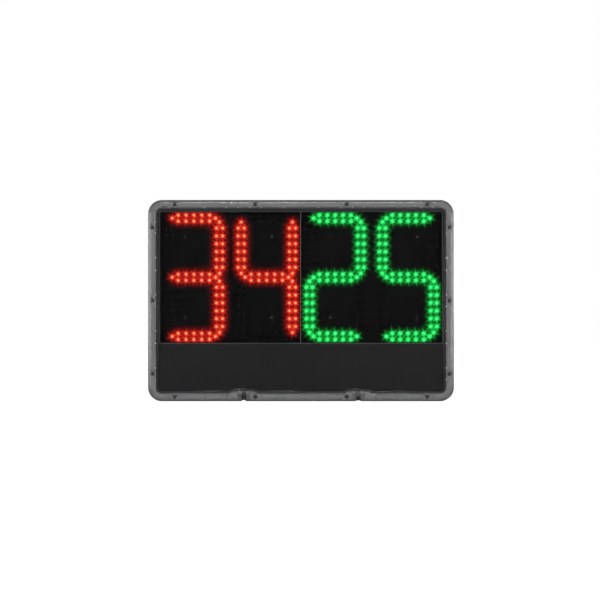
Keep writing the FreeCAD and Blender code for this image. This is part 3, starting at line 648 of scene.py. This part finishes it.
lampMesh = oneLamp(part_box("red_tens_leds")[1].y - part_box("red_tens_leds")[0].y)
places = segmentLamps()
for hue in ("red", "green"):
    look = glowLooks[hue]
    glow = glowFinish(hue + "_glow")
    litLens = lensFinish(hue + "_lens_lit", look["lens"], True)
    darkLens = lensFinish(hue + "_lens_dark", lensLook["dark"], False)
    for digit in ("tens", "units"):
        node = hue + "_" + digit + "_leds"
        low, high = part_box(node)
        middle = (low + high) / 2
        lit, dark = [], []
        for name, lamps in places.items():
            group = lit if name in digitShown[node] else dark
            group += [Vector((middle.x + x * mm, high.y, middle.z + z * mm)) for x, z in lamps]
        bm = bmesh.new()
        stamped(bm, lampMesh, lit, 0)
        stamped(bm, lampMesh, dark, 1)
        makePiece(hue + "_" + digit + "_lamps", bm, [litLens, darkLens], replaced=[node])
        # painted light: the emissive sheet paints each lit lamp's star and halo onto the board
        bm = glowSheet(lit, look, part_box(hue + "_display_board"), low.y - paintedGlow["rise"] * mm)
        makePiece(hue + "_" + digit + "_glow", bm, [glow])
print("lamps placed")


# screws: turned heads with a domed crown and a sunk driver seat
coverScrew = {"radius": 3.5, "height": 3.0, "side": 0.6, "shank": 1.45, "seat": 1.8, "lobes": 6, "lobe": 0.15,
              "sink": 1.3}
smallScrew = {"radius": 2.55, "height": 1.7, "side": 0.25, "shank": 1.2, "seat": 1.05, "lobes": 4, "lobe": 0.3,
              "sink": 0.7}
screwForm = {"chamfer": 0.15, "crownSteps": 5, "sides": 24, "seatTaper": 0.05, "smooth": 40}
screwShapes = {
    "cover_screws": {**coverScrew, "facing": -1, "finish": "black_steel"},
    "board_screws": {**smallScrew, "facing": -1, "finish": "glossy_steel"},
    "carrier_screws": {**smallScrew, "facing": 1, "finish": "black_steel"},
    "battery_door_screws": {**smallScrew, "facing": 1, "finish": "black_steel"},
    "control_board_screws": {**smallScrew, "facing": -1, "finish": "zinc_steel"},
}
glossySteel = {"colour": (0.045, 0.045, 0.047), "vary": 0.2, "rough": 0.2, "roughVary": 0.06, "grain": 1500,
               "bump": 0.05}


def turned(outline, axis, steps):
    # outline: distance from the axis and place along it, in mm
    bm = bmesh.new()
    along = Vector((0, 1, 0)) if axis == "Y" else Vector((0, 0, 1))
    verts = [bm.verts.new(Vector((away, 0, 0)) * mm + along * place * mm) for away, place in outline]
    edges = [bm.edges.new(pair) for pair in zip(verts, verts[1:])]
    bmesh.ops.spin(bm, geom=verts + edges, cent=(0, 0, 0), axis=along, angle=2 * math.pi, steps=steps,
                   use_merge=True)
    bmesh.ops.remove_doubles(bm, verts=bm.verts, dist=touch["cut"] * mm)
    bmesh.ops.recalc_face_normals(bm, faces=bm.faces)
    return bm


def screwMesh(shape, length):
    radius, height, rise = shape["radius"], shape["height"], shape["height"] * shape["side"]
    last = math.acos(shape["seat"] / radius)
    chamfer, steps = screwForm["chamfer"], screwForm["crownSteps"]
    outline = [(0, length), (shape["shank"], length), (shape["shank"], 0), (radius - chamfer, 0),
               (radius, -chamfer)]
    for step in range(steps + 1):
        angle = last * step / steps
        outline.append((radius * math.cos(angle), -rise - (height - rise) * math.sin(angle) / math.sin(last)))
    bm = turned(outline, "Y", screwForm["sides"])
    seat = bmesh.ops.contextual_create(bm, geom=[e for e in bm.edges if e.is_boundary])["faces"]
    bmesh.ops.recalc_face_normals(bm, faces=bm.faces)
    for vert in seat[0].verts:
        wave = 1 + shape["lobe"] * math.cos(shape["lobes"] * math.atan2(vert.co.z, vert.co.x))
        vert.co.x *= wave
        vert.co.z *= wave
    bmesh.ops.inset_region(bm, faces=seat, thickness=screwForm["seatTaper"] * mm, depth=-shape["sink"] * mm,
                           use_even_offset=True)
    if shape["facing"] > 0:
        bmesh.ops.scale(bm, vec=(1, -1, 1), verts=bm.verts)
        bmesh.ops.reverse_faces(bm, faces=bm.faces)
    return asMesh(bm, "one_screw")


finish["glossy_steel"] = mouldedFinish("glossy_steel", glossySteel)
for node, shape in screwShapes.items():
    boxes = solidBoxes(node)
    length = (boxes[0][1].y - boxes[0][0].y) / mm - shape["height"]
    mesh = screwMesh(shape, length)
    bm = bmesh.new()
    for low, high in boxes:
        seatY = low.y + shape["height"] * mm if shape["facing"] < 0 else high.y - shape["height"] * mm
        stamped(bm, mesh, [Vector(((low.x + high.x) / 2, seatY, (low.z + high.z) / 2))], 0)
    piece = makePiece(node + "_turned", bm, [finish[shape["finish"]]],
                      replaced=[node])
    smoothByAngle(piece, screwForm["smooth"])
print("screws turned:", len(screwShapes), "kinds")


# keys: soft caps with a dished face, a flange under the panel and a stem to the switch
keyShape = {"width": 19.0, "height": 17.0, "foot": 10.7, "corner": 4.0, "edge": 1.1, "dishInset": 1.9, "dish": 0.4,
            "flange": 1.5, "flangeThick": 1.2, "flangeCorner": 2.5, "stem": 3.2, "stemCorner": 0.3,
            "stemOverlap": 0.1, "cornerSteps": 5, "edgeSteps": 3, "smooth": 35}
keyMark = {"size": 10.0, "weight": 0.02, "steps": 4, "thick": 0.1, "sink": 0.04, "headRadius": 3.4, "headRise": 1.6,
           "shaftWidth": 2.2, "shaftLength": 4.2, "shaftDrop": 2.2}
keyPrint = {"rough": 0.5, "roughVary": 0.08, "grain": 1400, "bump": 0.1, "specular": 0.3}
keyInks = {"dark": {**keyPrint, "colour": (0.016, 0.016, 0.017), "vary": 0.1},
           "pale": {**keyPrint, "colour": (0.72, 0.72, 0.70), "vary": 0.04}}
for name, look in keyInks.items():
    finish["key_print_" + name] = mouldedFinish("key_print_" + name, look)


def softBlock(size, foot, corner, edge=0.0):
    bm = bmesh.new()
    bmesh.ops.create_cube(bm, size=1.0)
    bmesh.ops.scale(bm, vec=Vector(size) * mm, verts=bm.verts)
    bmesh.ops.translate(bm, vec=(0, (foot + size[1] / 2) * mm, 0), verts=bm.verts)
    uprights = [e for e in bm.edges if abs(e.verts[0].co.y - e.verts[1].co.y) > 0.1 * mm]
    bmesh.ops.bevel(bm, geom=uprights, offset=corner * mm, affect="EDGES", segments=keyShape["cornerSteps"],
                    profile=0.5, material=-1)
    if edge:
        top = (foot + size[1]) * mm
        brim = [e for e in bm.edges if all(abs(v.co.y - top) < touch["plane"] * mm for v in e.verts)]
        bmesh.ops.bevel(bm, geom=brim, offset=edge * mm, affect="EDGES", segments=keyShape["edgeSteps"],
                        profile=0.5, material=-1)
    return bm


def digitMark(text):
    curve = bpy.data.curves.new("legend", "FONT")
    curve.body = text
    curve.align_x, curve.align_y = "CENTER", "CENTER"
    curve.resolution_u = keyMark["steps"]
    curve.offset = keyMark["weight"]
    holder = bpy.data.objects.new("legend", curve)
    scene.collection.objects.link(holder)
    mesh = bpy.data.meshes.new_from_object(holder.evaluated_get(bpy.context.evaluated_depsgraph_get()))
    bm = bmesh.new()
    bm.from_mesh(mesh)
    bpy.data.objects.remove(holder)
    bpy.data.curves.remove(curve)
    bpy.data.meshes.remove(mesh)
    bmesh.ops.scale(bm, vec=(keyMark["size"] * mm,) * 3, verts=bm.verts)
    return bm


def arrowMark(way):
    bm = bmesh.new()
    bmesh.ops.create_circle(bm, cap_ends=True, segments=3, radius=keyMark["headRadius"] * mm)
    bmesh.ops.translate(bm, vec=(0, keyMark["headRise"] * mm, 0), verts=bm.verts)
    shaft = bmesh.new()
    bmesh.ops.create_grid(shaft, x_segments=1, y_segments=1, size=0.5)
    bmesh.ops.scale(shaft, vec=(keyMark["shaftWidth"] * mm, keyMark["shaftLength"] * mm, 1), verts=shaft.verts)
    bmesh.ops.translate(shaft, vec=(0, -keyMark["shaftDrop"] * mm, 0), verts=shaft.verts)
    joinInto(bm, shaft)
    if way < 0:
        bmesh.ops.rotate(bm, cent=(0, 0, 0), matrix=Matrix.Rotation(math.pi, 3, "Z"), verts=bm.verts)
    return bm


def makeKey(node, mark, slot, ink):
    low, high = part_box(node)
    top, foot = high.y / mm, keyShape["foot"]
    bm = softBlock((keyShape["width"], top - foot, keyShape["height"]), foot, keyShape["corner"], keyShape["edge"])
    face = [f for f in bm.faces if f.normal.y > 0.99 and f.calc_center_median().y > (top - touch["plane"]) * mm]
    bmesh.ops.inset_region(bm, faces=face, thickness=keyShape["dishInset"] * mm, depth=-keyShape["dish"] * mm,
                           use_even_offset=True)
    joinInto(bm, softBlock((keyShape["width"] + 2 * keyShape["flange"], keyShape["flangeThick"],
                            keyShape["height"] + 2 * keyShape["flange"]), foot, keyShape["flangeCorner"]))
    stemLength = foot - low.y / mm + keyShape["stemOverlap"]
    joinInto(bm, softBlock((keyShape["stem"], stemLength, keyShape["stem"]), low.y / mm, keyShape["stemCorner"]))
    grown = bmesh.ops.extrude_face_region(mark, geom=mark.faces[:])["geom"]
    bmesh.ops.translate(mark, vec=(0, 0, keyMark["thick"] * mm), verts=onlyVerts(grown))
    bmesh.ops.recalc_face_normals(mark, faces=mark.faces)
    seen = Matrix(((-1, 0, 0), (0, 0, 1), (0, 1, 0)))
    bmesh.ops.rotate(mark, cent=(0, 0, 0), matrix=seen, verts=mark.verts)
    bmesh.ops.translate(mark, vec=(0, (top - keyShape["dish"] - keyMark["sink"]) * mm, 0), verts=mark.verts)
    count = len(bm.faces)
    joinInto(bm, mark)
    bm.faces.ensure_lookup_table()
    for face in bm.faces[count:]:
        face.material_index = 1
    bmesh.ops.translate(bm, vec=((low.x + high.x) / 2, 0, (low.z + high.z) / 2), verts=bm.verts)
    piece = makePiece(node + "_cap", bm, [finish[slot], finish["key_print_" + ink]], body=node + "_body",
                      replaced=[node])
    smoothByAngle(piece, keyShape["smooth"])


for number in range(10):
    makeKey("number_key_%d" % number, digitMark(str(number)), "grey_key", "dark")
makeKey("out_key", arrowMark(-1), "red_key", "pale")
makeKey("in_key", arrowMark(1), "green_key", "pale")
print("keys made")


# power button: rubber plunger with a rounded end
buttonShape = {"radius": 3.15, "flange": 3.85, "neck": 6.9, "sides": 24, "smooth": 40,
               "end": ((0.0, 0.0), (0.5, 0.05), (0.78, 0.3), (0.94, 0.8), (1.0, 1.5))}


def makeButton():
    low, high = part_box("power_button")
    foot, top = low.z / mm, high.z / mm
    radius, flange, neck = buttonShape["radius"], buttonShape["flange"], buttonShape["neck"]
    outline = [(radius * share, foot + rise) for share, rise in buttonShape["end"]]
    outline += [(radius, neck), (flange, neck), (flange, top), (0, top)]
    bm = turned(outline, "Z", buttonShape["sides"])
    bmesh.ops.translate(bm, vec=((low.x + high.x) / 2, (low.y + high.y) / 2, 0), verts=bm.verts)
    piece = makePiece("power_button_plunger", bm, [finish["black_rubber"]], body="power_button_body",
                      replaced=["power_button"])
    smoothByAngle(piece, buttonShape["smooth"])


makeButton()


# power switch: natural nylon, pale enough to be lost inside the frame
switchNylon = {"colour": (0.62, 0.61, 0.58), "vary": 0.05, "cloud": 300, "rough": 0.22, "roughVary": 0.06,
               "clear": 0.93, "bend": 1.08, "smooth": 40}


def makeSwitchHousing():
    mat, tree, bsdf = newFinish("natural_nylon")
    cloud = objectNoise(tree, switchNylon["cloud"])
    tree.links.new(tint(tree, cloud, shaded(switchNylon["colour"], 1 - switchNylon["vary"]),
                        switchNylon["colour"]), bsdf.inputs["Base Color"])
    varyRoughness(tree, bsdf, cloud, switchNylon)
    bsdf.inputs["Transmission Weight"].default_value = switchNylon["clear"]
    bsdf.inputs["IOR"].default_value = switchNylon["bend"]
    piece = makePiece("power_switch_housing", mergedCopy("power_switch"), [mat],
                      replaced=["power_switch"])
    smoothByAngle(piece, switchNylon["smooth"])


makeSwitchHousing()
print("power button and switch housing made")


# painted highlight: small near-white beads stand in for the glints where the side and top ribs of the front half
# end at the window lip
ribGlintBeads = {"inset": 15.65, "y": -16.99, "sideRadius": 1.0, "edgeRadius": 0.75, "rounds": 2,
           "colour": (0.8, 0.8, 0.79), "vary": 0.04, "rough": 0.3, "roughVary": 0.08, "grain": 1500, "bump": 0.05}


def beadMesh(radius):
    bm = bmesh.new()
    bmesh.ops.create_icosphere(bm, subdivisions=ribGlintBeads["rounds"], radius=radius * mm)
    return asMesh(bm, "one_bead")


def makeRibPips():
    bm = bmesh.new()
    inset, y = ribGlintBeads["inset"] * mm, ribGlintBeads["y"] * mm
    sides = [Vector((x, y, z * mm)) for x in (cadLow.x + inset, cadHigh.x - inset) for z in ribs["upright"]]
    edges = [Vector((side * x * mm, y, cadHigh.z - inset)) for side in (-1, 1) for x in ribs["level"]]
    stamped(bm, beadMesh(ribGlintBeads["sideRadius"]), sides, 0)
    stamped(bm, beadMesh(ribGlintBeads["edgeRadius"]), edges, 0)
    # painted highlight: near-white beads for the glints at the rib ends
    piece = makePiece("rib_glint_beads", bm, [mouldedFinish("rib_glint_bead", ribGlintBeads)])
    piece.data.shade_smooth()


makeRibPips()
print("rib pips placed")


# studio: white floor and surroundings, which reflections show fading to grey overhead
studio = {"floorSide": 12.0, "floorShade": 0.30, "floorLift": 0.95, "ambient": 0.2, "overhead": 0.2,
          "fadeFrom": 0.15, "fadeTo": 0.6}


def floorFinish():
    mat = bpy.data.materials.new("studio_floor")
    mat.use_nodes = True
    tree = mat.node_tree
    tree.nodes.clear()
    out = addNode(tree, "ShaderNodeOutputMaterial")
    matt = addNode(tree, "ShaderNodeBsdfDiffuse", {"Color": (*(studio["floorShade"],) * 3, 1)})
    glow = addNode(tree, "ShaderNodeEmission", {"Color": (1, 1, 1, 1), "Strength": studio["floorLift"]})
    lift = addNode(tree, "ShaderNodeAddShader")
    mix = addNode(tree, "ShaderNodeMixShader")
    tree.links.new(matt.outputs[0], lift.inputs[0])
    tree.links.new(glow.outputs[0], lift.inputs[1])
    tree.links.new(seenDirectly(tree), mix.inputs["Fac"])
    tree.links.new(matt.outputs[0], mix.inputs[1])
    tree.links.new(lift.outputs[0], mix.inputs[2])
    tree.links.new(mix.outputs[0], out.inputs["Surface"])
    return mat


def seenDirectly(tree):
    path = addNode(tree, "ShaderNodeLightPath")
    return mathNode(tree, "MAXIMUM", path.outputs["Is Camera Ray"], path.outputs["Is Transmission Ray"])


def mirrored(tree):
    path = addNode(tree, "ShaderNodeLightPath")
    coord = addNode(tree, "ShaderNodeTexCoord")
    parts = addNode(tree, "ShaderNodeSeparateXYZ")
    tree.links.new(coord.outputs["Generated"], parts.inputs[0])
    overhead = spread(tree, parts.outputs["Z"], 1.0, studio["overhead"], studio["fadeFrom"], studio["fadeTo"])
    return mathNode(tree, "MULTIPLY", path.outputs["Is Glossy Ray"], overhead)


def makeStudio():
    bm = bmesh.new()
    bmesh.ops.create_grid(bm, x_segments=1, y_segments=1, size=studio["floorSide"] / 2)
    mesh = asMesh(bm, "floor")
    mesh.materials.append(floorFinish())
    floor = bpy.data.objects.new("floor", mesh)
    scene.collection.objects.link(floor)
    floor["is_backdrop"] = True
    world = bpy.data.worlds.new("surroundings")
    world.use_nodes = True
    scene.world = world
    tree = world.node_tree
    tree.nodes.clear()
    out = addNode(tree, "ShaderNodeOutputWorld")
    shown = addNode(tree, "ShaderNodeBackground", {"Color": (1, 1, 1, 1), "Strength": 1.0})
    light = addNode(tree, "ShaderNodeBackground", {"Color": (1, 1, 1, 1), "Strength": studio["ambient"]})
    mix = addNode(tree, "ShaderNodeMixShader")
    tree.links.new(mathNode(tree, "MAXIMUM", seenDirectly(tree), mirrored(tree)), mix.inputs["Fac"])
    tree.links.new(light.outputs[0], mix.inputs[1])
    tree.links.new(shown.outputs[0], mix.inputs[2])
    tree.links.new(mix.outputs[0], out.inputs["Surface"])


# soft lamps in m and W: one at each side, a strip over the camera and one behind
softLamps = {
    "left_softbox": {"place": (-1.35, -0.66, 0.23), "size": (2.4, 0.46), "power": 17.0},
    "right_softbox": {"place": (1.35, -0.66, 0.23), "size": (2.4, 0.46), "power": 17.0},
    "strip_light": {"place": (0.0, -3.6, 2.35), "size": (1.3, 0.6), "power": 32.0},
    "rear_softbox": {"place": (2.4, 2.4, 1.1), "size": (2.6, 1.9), "power": 50.0},
}
lampAim = Vector((0, 0, 0.2))


def softLamp(name, place, size, power):
    data = bpy.data.lights.new(name, "AREA")
    data.shape = "RECTANGLE"
    data.size, data.size_y = size
    data.energy = power
    lamp = bpy.data.objects.new(name, data)
    lamp.location = place
    lamp.rotation_euler = (lampAim - Vector(place)).to_track_quat("-Z", "Y").to_euler()
    lamp.visible_camera = False
    lamp.visible_transmission = False
    scene.collection.objects.link(lamp)


camera = {"lens": 135.0, "sensor": 36.0, "reach": 50.0, "distance": 4.5538, "x": -0.0020, "z": 0.2052}


def makeCamera():
    data = bpy.data.cameras.new("camera")
    data.lens = camera["lens"]
    data.sensor_width = camera["sensor"]
    data.clip_end = camera["reach"]
    eye = bpy.data.objects.new("camera", data)
    eye.location = (camera["x"], cadLow.y - camera["distance"], camera["z"])
    eye.rotation_euler = (math.pi / 2, 0, 0)
    scene.collection.objects.link(eye)
    scene.camera = eye


makeStudio()
for name, lamp in softLamps.items():
    softLamp(name, **lamp)
makeCamera()
print("studio ready")

low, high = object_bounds()
